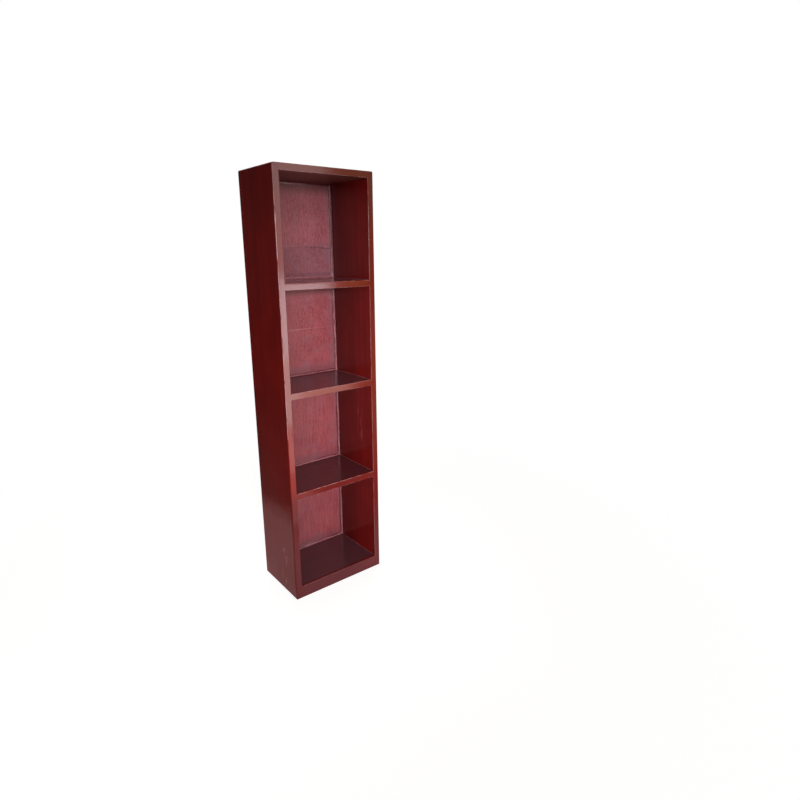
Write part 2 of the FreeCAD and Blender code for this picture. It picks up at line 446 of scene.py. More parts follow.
SAWN_WOOD_FINISH = sawn_wood()
for node in ("front_base_rail", "rear_base_rail", "base_corner_blocks"):
    dress(node, SAWN_WOOD_FINISH)


# Screws and nails
# Bright steel. Countersunk screws go through the sides into the ends of the boards, under the plugs,
# and flat-head nails hold the back.
STEEL = paint(176, 174, 170)
STEEL_TARNISH = paint(112, 98, 86)
TARNISH_SCALE = 420.0
TARNISH_SPREAD = (0.5, 0.75)
STEEL_ROUGHNESS = (0.3, 0.6)


def bright_steel():
    """Zinc-bright steel with a little tarnish."""
    material, shader, position = start_material("bright_steel")
    tarnish = fade(cloud(position, TARNISH_SCALE, detail=3.0), *TARNISH_SPREAD)
    join(tint(tarnish, STEEL, STEEL_TARNISH), shader, "Base Color")
    join(span(tarnish, *STEEL_ROUGHNESS), shader, "Roughness")
    shader.inputs["Metallic"].default_value = 1.0
    return material


STEEL_FINISH = bright_steel()
for node in ("left_side_screws", "right_side_screws", "back_panel_nails"):
    dress(node, STEEL_FINISH)


# Filler plugs
# Dabs of filler over the screw heads, sanded flush with the sides and sprayed with them, so that they
# don't show.
for node in ("left_side_plugs", "right_side_plugs"):
    dress(node, SIDE_LACQUER)


# Back panel
# One sheet of thin plywood, nailed into rebates at the rear. It is stained rather than lacquered, so
# its upright fibre stays dull and open. Painted light makes it paler to the right and, high up, towards
# the top; painted shadow lies under the shelves and painted shade at the foot of each bay, and it is
# darker half-way up.
BOARDS = ("bottom_panel", "lower_shelf", "middle_shelf", "upper_shelf", "top_panel")
BAY_NAMES = ("bottom", "lower", "upper", "top")
BAYS = {}
for bay, under, over in zip(BAY_NAMES, BOARDS, BOARDS[1:]):
    BAYS[bay] = (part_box(under)[1].z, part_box(over)[0].z)
BAY_HEIGHT = BAYS["bottom"][1] - BAYS["bottom"][0]
BAY_PITCH = BAYS["lower"][0] - BAYS["bottom"][0]
BACK_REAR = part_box("back_panel")[1].y


def tint_value(share, first, second):
    """One value giving way to another."""
    return put("Mix", {0: share, 2: first, 3: second}, data_type="FLOAT").outputs[0]


def ridge(value, middle, width):
    """A mask that is 1 round a middle value and 0 beyond its width."""
    return fade(apart(value, middle), width, width / 4)


def height_in_bay(level):
    """The height over the board that a bay stands on."""
    return calc("MODULO", calc("SUBTRACT", level, BAYS["bottom"][0]), BAY_PITCH)


BACK_FIBRE_SCALE = 380.0
BACK_FIBRE_DRAWN = (1.0, 1.0, 0.04)
BACK_FIBRE_RANGE = (0.16, 0.84)
SPECKLE_SCALE = 560.0
SPECKLE_DRAWN = (1.0, 1.0, 0.7)
STRAND_SCALE = 360.0
STRAND_DRAWN = (1.0, 1.0, 0.2)
STRAND_PART = 0.45


def open_fibre(position, mottled):
    """Long upright fibre, and the same broken up by speckle and short strands."""
    drawn = stretch(position, BACK_FIBRE_DRAWN)
    raised = cloud(drawn, BACK_FIBRE_SCALE, detail=4.0, distortion=0.1)
    fibre = span(raised, *BACK_FIBRE_RANGE)
    speckle = cloud(stretch(position, SPECKLE_DRAWN), SPECKLE_SCALE)
    strands = cloud(stretch(position, STRAND_DRAWN), STRAND_SCALE, detail=3.0)
    broken = tint_value(STRAND_PART, speckle, strands)
    return fibre, tint_value(mottled, fibre, broken)


STAIN_ROSE = paint(193, 97, 104)
STAIN_DARK = paint(154, 62, 70)
STAIN_SPREAD = (0.62, 0.36)
STAIN_HAZE = paint(160, 102, 116)
CLOUDED_SCALE = 34.0
CLOUDED_SPREAD = (0.5, 0.72)
CLOUDED_SHARE = 0.4


def rose_stain(position, thin):
    """The stain as it was wiped on, deeper in the hollows of the fibre and clouded here and there."""
    stain = tint(fade(thin, *STAIN_SPREAD), STAIN_ROSE, STAIN_DARK)
    clouds = cloud(position, CLOUDED_SCALE, detail=3.0, distortion=0.6)
    clouded = times(fade(clouds, *CLOUDED_SPREAD), CLOUDED_SHARE)
    return tint(clouded, stain, STAIN_HAZE)


SIDE_MARGIN = (0.034, 0.006)
FOOT_MARGIN = (0.04, 0.008)
PATCHY_SPREAD = (0.3, 0.7)
PATCHY_SHARES = (0.35, 0.9)
STAIN_GREY = paint(180, 104, 110)
GREY_REACH = 0.08


def bay_margins(stain, place, patches, mottled):
    """A grey haze round the edges of each bay and, paler, under the board over it."""
    from_side = calc("SUBTRACT", INSIDE, calc("ABSOLUTE", place["X"]))
    above = height_in_bay(place["Z"])
    below = calc("SUBTRACT", BAY_HEIGHT, above)
    margin = calc("MAXIMUM", fade(from_side, *SIDE_MARGIN), fade(above, *FOOT_MARGIN))
    patchy = span(fade(patches, *PATCHY_SPREAD), *PATCHY_SHARES)
    hazed = tint(times(margin, mottled, patchy), stain, STAIN_HAZE)
    greyed = times(fade(below, GREY_REACH, 0.0), patchy)
    return tint(greyed, hazed, STAIN_GREY)


STAIN_MARK = paint(112, 64, 76)
MARK_HEIGHT = 0.012
MARK_REACH = 0.008
MARK_SPREAD = (0.4, 0.65)
# Paler towards the top and the right: a patchy fade, with painted light.
STAIN_PALE_AND_LIT = paint(232, 144, 156)
FADE_AND_LIGHT_HEIGHTS = (0.75, 1.2)
FADE_SPREAD = (0.4, 0.58)
FADE_SHARES = (0.16, 0.36)
LIGHT_ACROSS_TOP = (-0.02, 0.08)
LIGHT_GAIN = 1.7
DULL_TONE = (0.75, 0.9, 0.94, 1.0)
DULL_HEIGHT = 0.062
DULL_REACH = 0.06


def top_bay_wear_and_light(stain, place, thin, mottle):
    """The top bay's dark specks over the shelf, the stain paler towards the top and right, as a patchy
    fade with painted light, and a dull band.
    """
    above = height_in_bay(place["Z"])
    in_top_bay = calc("GREATER_THAN", place["Z"], BAYS["top"][0])
    band = times(ridge(above, MARK_HEIGHT, MARK_REACH), in_top_bay)
    marks = times(band, fade(mottle, *MARK_SPREAD))
    marked = tint(marks, stain, STAIN_MARK)
    # Paler towards the top and the right: a patchy fade, with painted light.
    high = fade(place["Z"], *FADE_AND_LIGHT_HEIGHTS)
    bleached = span(fade(thin, *FADE_SPREAD), *FADE_SHARES)
    light_gain = span(fade(place["X"], *LIGHT_ACROSS_TOP), 1.0, LIGHT_GAIN)
    faded_and_lit = tint(times(high, bleached, light_gain), marked, STAIN_PALE_AND_LIT)
    dulled = times(ridge(above, DULL_HEIGHT, DULL_REACH), in_top_bay)
    return tint(dulled, faded_and_lit, DULL_TONE, mode="MULTIPLY")


# Painted shadow under the boards, painted light across the sheet, painted shade at each bay's foot.
STAIN_SHELF_SHADOW = paint(104, 62, 60)
SHELF_SHADOW_REACH = (0.042, 0.005)
SHELF_SHADOW_SHARE = 0.9
# Painted light and shade across the sheet: darker to the left, lighter to the right.
LIGHT_ACROSS = (-0.07, 0.1)
LIGHT_ACROSS_TONES = (0.78, 1.1)
# Painted shade at the foot of each bay.
FOOT_SHADE_REACH = (0.036, 0.01)
FOOT_SHADE_TONE = 0.78
# Darker around half the height of the sheet.
DARKEST_AT = 0.5
DARKEST_REACH = 0.5
DARKEST_TONE = 0.92


def painted_shading(stain, place, mottled):
    """Painted shadow under each board, painted light that grows to the right, painted shade at a bay's
    foot, and darker half-way up.
    """
    above = height_in_bay(place["Z"])
    below = calc("SUBTRACT", BAY_HEIGHT, above)
    # Painted shadow under each board.
    shelf_shadow = times(fade(below, *SHELF_SHADOW_REACH), mottled, SHELF_SHADOW_SHARE)
    shadowed_under_shelf = tint(shelf_shadow, stain, STAIN_SHELF_SHADOW)
    # Painted light growing to the right, painted shade to the left.
    across = span(fade(place["X"], *LIGHT_ACROSS), *LIGHT_ACROSS_TONES)
    # Painted shade at the foot of each bay.
    shaded_foot = span(fade(above, *FOOT_SHADE_REACH), 1.0, FOOT_SHADE_TONE)
    # Darker around half the height of the sheet.
    darker_middle = span(ridge(place["Z"], DARKEST_AT, DARKEST_REACH), 1.0, DARKEST_TONE)
    return tint(1.0, shadowed_under_shelf, times(across, shaded_foot, darker_middle), mode="MULTIPLY")


CREASE_PALE = paint(206, 138, 144)
CREASE_SCALE = 13.0
CREASE_WIDTH = 0.0025
CREASE_BREAKS = (0.4, 1.6)
CREASE_ACROSS = (-0.03, 0.08)
SHADOW_DROP = 0.004
SHADOW_WIDTH = 0.0035
SHADOW_SPREAD = (0.35, 0.6)


def crease(stain, place, mottle, level, sway, lightness, darkness):
    """A thin pale line across the sheet where it was creased, with a dark lower lip to the right."""
    along = put("CombineXYZ", {"X": place["X"]}).outputs[0]
    wander = calc("SUBTRACT", cloud(along, CREASE_SCALE, detail=3.0), 0.5)
    height = calc("ADD", place["Z"], times(wander, sway))
    line = calc("SUBTRACT", height, level)
    to_right = fade(place["X"], *CREASE_ACROSS)
    lip = times(ridge(line, -SHADOW_DROP, SHADOW_WIDTH), to_right)
    shadow = times(lip, times(fade(mottle, *SHADOW_SPREAD), darkness))
    shaded = tint(shadow, stain, STAIN_MARK)
    pale = times(ridge(line, 0.0, CREASE_WIDTH), span(to_right, lightness, lightness / 2))
    broken = times(pale, span(mottle, *CREASE_BREAKS))
    return tint(broken, shaded, CREASE_PALE)


REAR_GRAIN = (1.0, 1.0, 0.07)
REAR_WOOD = paint(184, 134, 100)
REAR_WOOD_DARK = paint(146, 96, 68)
REAR_SPREAD = (0.38, 0.62)
REAR_FIGURE_PART = 0.7
REAR_SKIN = 0.001


def plain_rear(stain, place, position, fibre):
    """Leaves the rear of the sheet as plain plywood."""
    grain = fill_group(wood_grain, {"Position": position, "Along": REAR_GRAIN})
    figure = times(grain["Figure"], REAR_FIGURE_PART)
    bands = calc("ADD", figure, times(fibre, 1 - REAR_FIGURE_PART))
    rear = tint(fade(bands, *REAR_SPREAD), REAR_WOOD, REAR_WOOD_DARK)
    behind = fade(place["Y"], BACK_FACE + REAR_SKIN, BACK_REAR - REAR_SKIN)
    return tint(behind, stain, rear)


MOTTLE_SCALE = 310.0
MOTTLE_HEIGHTS = (0.45, 0.8)
MOTTLE_SHARES = (0.5, 0.85)
PATCH_SCALE = 15.0
PATCH_PART = 0.16
BACK_ROUGHNESS = (0.5, 0.8)
BACK_RELIEF = 0.0004


def stained_back():
    """Rose stain over open plywood, with what the years have left in each bay, and painted light
    and shade.
    """
    material, shader, position = start_material("stained_back")
    place = axes(position)
    mottle = cloud(position, MOTTLE_SCALE, detail=3.0)
    mottled = span(fade(place["Z"], *MOTTLE_HEIGHTS), *MOTTLE_SHARES)
    fibre, worn = open_fibre(position, mottled)
    patches = cloud(position, PATCH_SCALE, detail=4.0, distortion=0.5)
    patched = times(calc("SUBTRACT", patches, 0.5), PATCH_PART)
    thin = calc("ADD", worn, patched)
    stain = rose_stain(position, thin)
    stain = bay_margins(stain, place, patches, mottled)
    stain = top_bay_wear_and_light(stain, place, thin, mottle)
    stain = painted_shading(stain, place, mottled)
    stain = crease(stain, place, mottle, level=1.021, sway=0.024, lightness=0.3, darkness=0.8)
    stain = crease(stain, place, mottle, level=0.772, sway=0.003, lightness=0.45, darkness=0.3)
    join(plain_rear(stain, place, position, fibre), shader, "Base Color")
    join(span(worn, *BACK_ROUGHNESS), shader, "Roughness")
    bump(shader, worn, BACK_RELIEF)
    return material


dress("back_panel", stained_back())


# Front edging
# Strips of solid wood glued along the front of every board and over the base, sanded flush by hand
# with soft arrises, then sprayed with the case. The lacquer has rubbed thin on the arrises, which also
# carry painted highlights. A painted patch of light lies on the left upright at half height, and
# painted shade darkens the front low down.
FRONT = cad_box[0].y
TOP = cad_box[1].z
EDGING_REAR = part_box("top_lipping")[1].y
EDGING_DEPTH = EDGING_REAR - FRONT
CORNER_ROUND = 0.004
OUTER_ROUND = 0.0016
MOUTH_ROUND = 0.0012
ROUND_STEPS = 4
CORNER_ANGLE = 0.5
TOUCH = 1e-6
STRIP_MARGIN = 0.001
EDGING_SOFTNESS = math.radians(50)
SANDING_STEP = 0.02
SANDED_OFF = 0.0005
SANDED_EVENLY = 0.5
SLOW_WAVE = 7.0
SLOW_PART = 0.4
QUICK_WAVE = 31.0
QUICK_PART = 0.15
QUICK_SHIFT = Vector((5.0, 0.0, 0.0))


def cut(bm, place, normal, keep_both=True):
    """Scores a mesh along a plane, or takes away what lies beyond it."""
    geometry = bm.verts[:] + bm.edges[:] + bm.faces[:]
    bmesh.ops.bisect_plane(bm, geom=geometry, plane_co=place, plane_no=normal, dist=TOUCH,
                           clear_outer=not keep_both)


def sanding(place):
    """How far hand sanding went below the flat at a place on the front."""
    slow = noise.noise(place * SLOW_WAVE)
    quick = noise.noise(place * QUICK_WAVE + QUICK_SHIFT)
    return SANDED_OFF * (SANDED_EVENLY + SLOW_PART * slow + QUICK_PART * quick)


def front_frame():
    """All the edging as one frame: a sheet, scored, with the bays cut out, and thickened."""
    bm = bmesh.new()
    bmesh.ops.create_grid(bm, x_segments=1, y_segments=1, size=0.5)
    bmesh.ops.scale(bm, vec=(2 * OUTSIDE, TOP, 1), verts=bm.verts)
    bmesh.ops.rotate(bm, matrix=Matrix.Rotation(math.pi / 2, 3, "X"), verts=bm.verts)
    bmesh.ops.translate(bm, vec=(0, FRONT, TOP / 2), verts=bm.verts)
    for x in (-INSIDE, INSIDE):
        cut(bm, (x, 0, 0), (1, 0, 0))
    for low, high in BAYS.values():
        cut(bm, (0, 0, low), (0, 0, 1))
        cut(bm, (0, 0, high), (0, 0, 1))
    openings = []
    for face in bm.faces:
        centre = face.calc_center_median()
        if abs(centre.x) < INSIDE and any(low < centre.z < high for low, high in BAYS.values()):
            openings.append(face)
    bmesh.ops.delete(bm, geom=openings, context="FACES")
    for step in range(1, int(TOP / SANDING_STEP)):
        cut(bm, (0, 0, step * SANDING_STEP), (0, 0, 1))
    across = int(INSIDE / SANDING_STEP)
    for step in range(-across, across + 1):
        cut(bm, (step * SANDING_STEP, 0, 0), (1, 0, 0))
    rear = bmesh.ops.extrude_face_region(bm, geom=bm.faces[:])["geom"]
    bmesh.ops.translate(bm, vec=(0, EDGING_DEPTH, 0),
                        verts=[part for part in rear if isinstance(part, bmesh.types.BMVert)])
    bmesh.ops.recalc_face_normals(bm, faces=bm.faces[:])
    return bm


def is_corner(edge):
    """Whether an edge is between two faces at an angle."""
    return len(edge.link_faces) == 2 and edge.calc_face_angle() > CORNER_ANGLE


def is_top_corner(edge):
    """Whether an edge runs back along one of the two top corners."""
    return all(abs(vert.co.x) > OUTSIDE - TOUCH and vert.co.z > TOP - TOUCH for vert in edge.verts)


def is_outer(edge):
    """Whether an edge is on the outside of the case and not on the glued rear face."""
    middle = (edge.verts[0].co + edge.verts[1].co) / 2
    outside = abs(middle.x) > OUTSIDE - CORNER_ROUND or not TOUCH < middle.z < TOP - CORNER_ROUND
    return outside and middle.y < EDGING_REAR - TOUCH


def is_front(edge):
    """Whether an edge lies in the front face."""
    return all(abs(vert.co.y - FRONT) < TOUCH for vert in edge.verts)


def ease(bm, edges, radius):
    """Rounds over edges and marks the crown of the new surface as arris."""
    arris = bm.verts.layers.float["arris"]
    made = bmesh.ops.bevel(bm, geom=edges, offset=radius, segments=ROUND_STEPS, profile=0.5,
                           affect="EDGES", material=-1)
    rounded = set(made["faces"])
    for vert in made["verts"]:
        if rounded.issuperset(vert.link_faces):
            vert[arris] = 1.0


def eased_frame():
    """The frame with soft arrises and a hand-sanded face."""
    bm = front_frame()
    bm.verts.layers.float.new("arris")
    corners = [edge for edge in bm.edges if is_corner(edge) and is_top_corner(edge)]
    ease(bm, corners, CORNER_ROUND)
    rim = [edge for edge in bm.edges if is_corner(edge) and is_outer(edge)]
    ease(bm, rim, OUTER_ROUND)
    mouths = [edge for edge in bm.edges if is_front(edge) and is_corner(edge)]
    ease(bm, mouths, MOUTH_ROUND)
    for vert in bm.verts:
        share = (EDGING_REAR - vert.co.y) / EDGING_DEPTH
        vert.co.y += share * sanding(vert.co)
    return bm


def cap(bm):
    """Closes the ends that a cut has left open."""
    open_edges = [edge for edge in bm.edges if edge.is_boundary]
    bmesh.ops.holes_fill(bm, edges=open_edges, sides=0)
    bmesh.ops.recalc_face_normals(bm, faces=bm.faces[:])


def upright(frame_mesh, side):
    """The strip down the front of one side."""
    bm = frame_mesh.copy()
    cut(bm, (side * INSIDE, 0, 0), (-side, 0, 0), keep_both=False)
    cap(bm)
    return bm


def is_end(face):
    """Whether a face lies flat against a side."""
    return all(abs(abs(vert.co.x) - INSIDE) < TOUCH for vert in face.verts)


def crosspiece(frame_mesh, low, high):
    """The strip along the front of one board."""
    bm = frame_mesh.copy()
    for side in (-1, 1):
        cut(bm, (side * INSIDE, 0, 0), (side, 0, 0), keep_both=False)
    middle = (low + high) / 2
    reach = (high - low) / 2 + STRIP_MARGIN
    others = [vert for vert in bm.verts if abs(vert.co.z - middle) > reach]
    bmesh.ops.delete(bm, geom=others, context="VERTS")
    bmesh.ops.delete(bm, geom=[face for face in bm.faces if is_end(face)], context="FACES")
    cap(bm)
    return bm


# Where arrises are rubbed thin and carry painted highlights; at the right of the bays, painted highlight
# alone.
OUTER_LEFT = (0.005 - OUTSIDE, 0.003 - OUTSIDE)
OUTER_LEFT_BARE_AND_LIT = 0.85
BARE_RISE = 0.2
LEFT_MOUTH_KEPT = (0.002, 0.004)
RIGHT_MOUTH_HIGHLIGHT_REACH = 0.003
RIGHT_MOUTH_HIGHLIGHT = 0.35


def bareness_and_highlight(place, bare_and_lit_from, bare_and_lit_share):
    """How bare an arris may get, with its painted highlight: most on the outer left, none at the left of
    the bays, and at the right of the bays a painted highlight alone.
    """
    outer_left = span(fade(place["X"], *OUTER_LEFT), bare_and_lit_share, OUTER_LEFT_BARE_AND_LIT)
    raised = fade(place["Z"], bare_and_lit_from, bare_and_lit_from + BARE_RISE)
    off_left_mouth = fade(apart(place["X"], -INSIDE), *LEFT_MOUTH_KEPT)
    lit_right_mouth = fade(apart(place["X"], INSIDE), RIGHT_MOUTH_HIGHLIGHT_REACH, 0.0)
    return calc("MAXIMUM", times(outer_left, raised, off_left_mouth),
                times(lit_right_mouth, RIGHT_MOUTH_HIGHLIGHT))


EDGE_RED = paint(137, 28, 22)
EDGE_DARK = paint(127, 23, 19)
EDGE_SPREAD = (0.35, 0.65)
# Painted light: a brighter patch on the left upright, at half height.
EDGE_LIT_PATCH = paint(152, 36, 29)
LIT_PATCH_LEVEL = 0.42
LIT_PATCH_REACH = 0.16
# Painted shade: the front darker low down.
EDGE_LOW_SHADE = paint(114, 22, 20)
LOW_SHADE_HEIGHTS = (0.37, 0.27)
# Pale undercoat on rubbed arrises, also standing in for a painted highlight.
EDGE_WORN_AND_HIGHLIGHT = paint(222, 172, 174)
RUBBED_SPREAD = (0.3, 0.6)
EDGE_ROUGHNESS = (0.08, 0.13)
EDGE_FIBRE_RELIEF = 0.6
EDGE_PEEL_HEIGHT = 0.00007


def edge_lacquer(name, along, bare_and_lit_from, bare_and_lit_share):
    """The case's lacquer on solid wood, rubbed thin on the arrises, with painted highlights there, a
    painted patch of light and painted shade low down.
    """
    material, shader, position = start_material(name)
    place = axes(position)
    grain = fill_group(wood_grain, {"Position": position, "Along": along})
    film = fill_group(lacquer_film, {"Position": position})
    red = tint(fade(grain["Figure"], *EDGE_SPREAD), EDGE_DARK, EDGE_RED)
    # Painted light: a brighter patch on the left upright, at half height.
    near_lit_patch = fade(apart(place["Z"], LIT_PATCH_LEVEL), LIT_PATCH_REACH, LIT_PATCH_REACH / 3)
    lit_patch = times(near_lit_patch, fade(place["X"], 0.0, -INSIDE))
    red = tint(lit_patch, red, EDGE_LIT_PATCH)
    # Painted shade: the front darker low down, most on the left.
    low = times(fade(place["Z"], *LOW_SHADE_HEIGHTS), fade(place["X"], INSIDE, 0.0))
    red = tint(low, red, EDGE_LOW_SHADE)
    arris = source(material.node_tree, "Attribute", attribute_name="arris").outputs["Fac"]
    # Rubbed-thin arrises, which also carry painted highlights.
    rubbed = times(arris, fade(film["Smear"], *RUBBED_SPREAD))
    worn = times(rubbed, bareness_and_highlight(place, bare_and_lit_from, bare_and_lit_share))
    join(tint(worn, red, EDGE_WORN_AND_HIGHLIGHT), shader, "Base Color")
    join(span(film["Smear"], *EDGE_ROUGHNESS), shader, "Roughness")
    relief = calc("ADD", film["Peel"], times(grain["Fibre"], EDGE_FIBRE_RELIEF))
    bump(shader, relief, EDGE_PEEL_HEIGHT)
    return material


def make_piece(name, bm, material):
    """Turns a mesh into a piece that rides on the case."""
    mesh = bpy.data.meshes.new(name)
    bm.to_mesh(mesh)
    bm.free()
    mesh.materials.append(material)
    piece = bpy.data.objects.new(name, mesh)
    bpy.context.scene.collection.objects.link(piece)
    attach(piece, "root")
    return piece


def shade_soft(piece, angle):
    """Smooth shading that keeps flats flat and leaves true corners sharp."""
    for face in piece.data.polygons:
        face.use_smooth = True
    piece.data.set_sharp_from_angle(angle=angle)
    modifier = piece.modifiers.new("weighted normals", "WEIGHTED_NORMAL")
    modifier.keep_sharp = True


def fit_strip(node, bm, material):
    """Puts a sanded strip in the place of the plain one."""
    name = node.replace("lipping", "edging").replace("fascia", "front")
    strip = make_piece(name, bm, material)
    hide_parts(node)
    shade_soft(strip, EDGING_SOFTNESS)


EDGE_UPRIGHT = edge_lacquer("edge_lacquer_upright", UPRIGHT_GRAIN, bare_and_lit_from=0.4, bare_and_lit_share=0.3)
EDGE_LEVEL = edge_lacquer("edge_lacquer_level", LEVEL_GRAIN, bare_and_lit_from=0.05, bare_and_lit_share=0.6)
whole_front = eased_frame()
for node, side in (("left_side_lipping", -1), ("right_side_lipping", 1)):
    fit_strip(node, upright(whole_front, side), EDGE_UPRIGHT)
for node in ("top_lipping", "upper_shelf_lipping", "middle_shelf_lipping", "lower_shelf_lipping",
             "base_fascia"):
    low, high = (corner.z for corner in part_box(node))
    fit_strip(node, crosspiece(whole_front, low, high), EDGE_LEVEL)
whole_front.free()


# Filler beads
# A bead of filler pressed by hand into the angle round the back of each bay and lacquered over. It is
# uneven and feathers out pale on the boards, with painted highlights there. Painted shadow darkens it in
# the crease against the back panel and along the top of each bay, and painted light brightens it over
# the upper shelf.
BEAD_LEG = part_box("top_bay_bead")[1].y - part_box("top_bay_bead")[0].y
BEAD_STEPS = 5
BEAD_CUTS = 60
BEAD_CORNER = 0.5
LONG_EDGE = 3 * BEAD_LEG
PRESS_REACH = 1.5 * BEAD_LEG
PRESSED_LEAST = 0.5
PRESSED_MEAN = 0.8
PRESS_SLOW = 24.0
PRESS_SLOW_PART = 0.2
PRESS_QUICK = 130.0
PRESS_QUICK_PART = 0.14
FILLER_SOFTNESS = math.radians(60)


def ring(bm, inset, depth, low, high, across):
    """A closed rectangle of edges round the back of a bay, marked with its place across the bead."""
    edge_share = bm.verts.layers.float["across"]
    half = INSIDE - inset
    corners = [(-half, low + inset), (half, low + inset), (half, high - inset), (-half, high - inset)]
    verts = [bm.verts.new((x, BACK_FACE - depth, z)) for x, z in corners]
    for vert in verts:
        vert[edge_share] = across
    return [bm.edges.new((verts[i - 1], vert)) for i, vert in enumerate(verts)]


def press(place, low, high):
    """Draws a point of a bead towards its corner, unevenly."""
    slow = noise.noise(place * PRESS_SLOW)
    quick = noise.noise(place * PRESS_QUICK)
    share = PRESSED_MEAN + PRESS_SLOW_PART * slow + PRESS_QUICK_PART * quick
    share = min(max(share, PRESSED_LEAST), 1.0)
    from_side = INSIDE - abs(place.x)
    if from_side < PRESS_REACH:
        place.x = math.copysign(INSIDE - from_side * share, place.x)
    if place.z - low < PRESS_REACH:
        place.z = low + (place.z - low) * share
    elif high - place.z < PRESS_REACH:
        place.z = high - (high - place.z) * share
    place.y = BACK_FACE - (BACK_FACE - place.y) * share


def bead(low, high):
    """A hollow-faced ring bridged from rectangles, cut up and pressed uneven."""
    bm = bmesh.new()
    bm.verts.layers.float.new("across")
    rings = [ring(bm, 0, 0, low, high, BEAD_CORNER)]
    for step in range(BEAD_STEPS + 1):
        across = step / BEAD_STEPS
        angle = math.pi / 2 * across
        inset = BEAD_LEG * (1 - math.cos(angle))
        depth = BEAD_LEG * (1 - math.sin(angle))
        rings.append(ring(bm, inset, depth, low, high, across))
    for first, second in zip(rings, rings[1:] + rings[:1]):
        bmesh.ops.bridge_loops(bm, edges=first + second)
    long_edges = [edge for edge in bm.edges if edge.calc_length() > LONG_EDGE]
    bmesh.ops.subdivide_edges(bm, edges=long_edges, cuts=BEAD_CUTS)
    for vert in bm.verts:
        press(vert.co, low, high)
    bmesh.ops.recalc_face_normals(bm, faces=bm.faces[:])
    return bm


FILLER_ROSE = paint(176, 112, 118)
# Pale where the filler feathers out thin, which also stands in for a painted highlight.
FILLER_PALE_AND_LIT = paint(208, 138, 146)
# Painted shadow in the crease of the bead against the back panel.
FILLER_SHADED = paint(128, 52, 60)
FILLER_CREASE_SHADOW = paint(94, 34, 42)
DAB_SCALE = 150.0
DAB_SPREAD = (0.35, 0.65)
DAB_RELIEF = 0.0006
RUN_SCALE = 22.0
RUN_SPREAD = (0.35, 0.65)
RUN_SHIFT = 0.1
FEATHER_EDGE = (0.6, 0.46)
# Painted shade: no pale near the top of each bay.
CEILING_SHADE_REACH = (BAY_HEIGHT - 0.012, BAY_HEIGHT - 0.03)
SOFT_HEIGHTS = (0.9, 0.95)
SOFT_FEATHER = 0.55
# Painted light on the bead over the upper shelf.
UPPER_SHELF_LIGHT_REACH = 0.02
UPPER_SHELF_LIGHT = 0.65
FILLER_ROUGHNESS = (0.2, 0.45)


def feathering_and_light(position, across):
    """Where a bead is pale, as thin filler with painted highlight: towards the boards, less so in the top
    bay, not in the painted shade at the top of a bay, and as painted light over the upper shelf.
    """
    level = axes(position)["Z"]
    runs = fade(cloud(position, RUN_SCALE), *RUN_SPREAD)
    edge = calc("ADD", across, span(runs, -RUN_SHIFT, RUN_SHIFT))
    # Painted shade: the pale is taken away near the top of each bay.
    unshaded = fade(height_in_bay(level), *CEILING_SHADE_REACH)
    softer = span(fade(level, *SOFT_HEIGHTS), 1.0, SOFT_FEATHER)
    feather = times(fade(edge, *FEATHER_EDGE), unshaded, softer)
    # Painted light on the bead over the upper shelf.
    lit_upper_shelf = times(ridge(level, BAYS["top"][0], UPPER_SHELF_LIGHT_REACH), UPPER_SHELF_LIGHT)
    return calc("MAXIMUM", feather, lit_upper_shelf)


def lacquered_filler():
    """Filler under lacquer: mauve, feathered pale on the boards with painted highlights, and painted
    shadow in the crease at the back.
    """
    material, shader, position = start_material("lacquered_filler")
    film = fill_group(lacquer_film, {"Position": position})
    across = source(material.node_tree, "Attribute", attribute_name="across").outputs["Fac"]
    dabs = cloud(position, DAB_SCALE, detail=3.0, distortion=0.6)
    dabbed = fade(dabs, *DAB_SPREAD)
    # Painted shadow for the crease side of the bead.
    dark = tint(dabbed, FILLER_SHADED, FILLER_CREASE_SHADOW)
    pale = tint(dabbed, FILLER_ROSE, FILLER_PALE_AND_LIT)
    join(tint(feathering_and_light(position, across), dark, pale), shader, "Base Color")
    join(span(film["Smear"], *FILLER_ROUGHNESS), shader, "Roughness")
    bump(shader, dabs, DAB_RELIEF)
    return material


FILLER_FINISH = lacquered_filler()
for bay, (low, high) in BAYS.items():
    filler = make_piece(bay + "_bay_filler", bead(low, high), FILLER_FINISH)
    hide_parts(bay + "_bay_bead")
    shade_soft(filler, FILLER_SOFTNESS)


# Joint filler
# A thin smear of the same filler along the ends of each shelf and of the bottom, where they meet the
# sides. It was wiped in with a finger and sprayed over, and shows as a fine pale line.
SMEAR_REACH = 0.0014
SMEAR_CUTS = 40
WIPED_MEAN = 0.7
WIPED_PART = 0.3
WIPED_WAVE = 60.0
SMEAR_RED = paint(118, 50, 48)
SMEAR_PALE = paint(168, 106, 102)
SMEAR_SCALE = 90.0
SMEAR_SPREAD = (0.4, 0.75)
SMEAR_ROUGHNESS = (0.25, 0.5)
SMEAR_RELIEF = 0.0004


def smear(bm, side, floor):
    """One strip in the angle between a shelf and a side: a triangle drawn out from front to back."""
    x = side * INSIDE
    corner = bm.verts.new((x, EDGING_REAR, floor))
    inward = bm.verts.new((x - side * SMEAR_REACH, EDGING_REAR, floor))
    upward = bm.verts.new((x, EDGING_REAR, floor + SMEAR_REACH))
    start = bm.faces.new((corner, inward, upward))
    drawn = bmesh.ops.extrude_face_region(bm, geom=[start], use_keep_orig=True)["geom"]
    ends = [part for part in drawn if isinstance(part, bmesh.types.BMVert)]
    bmesh.ops.translate(bm, vec=(0, BACK_FACE - BEAD_LEG / 2 - EDGING_REAR, 0), verts=ends)


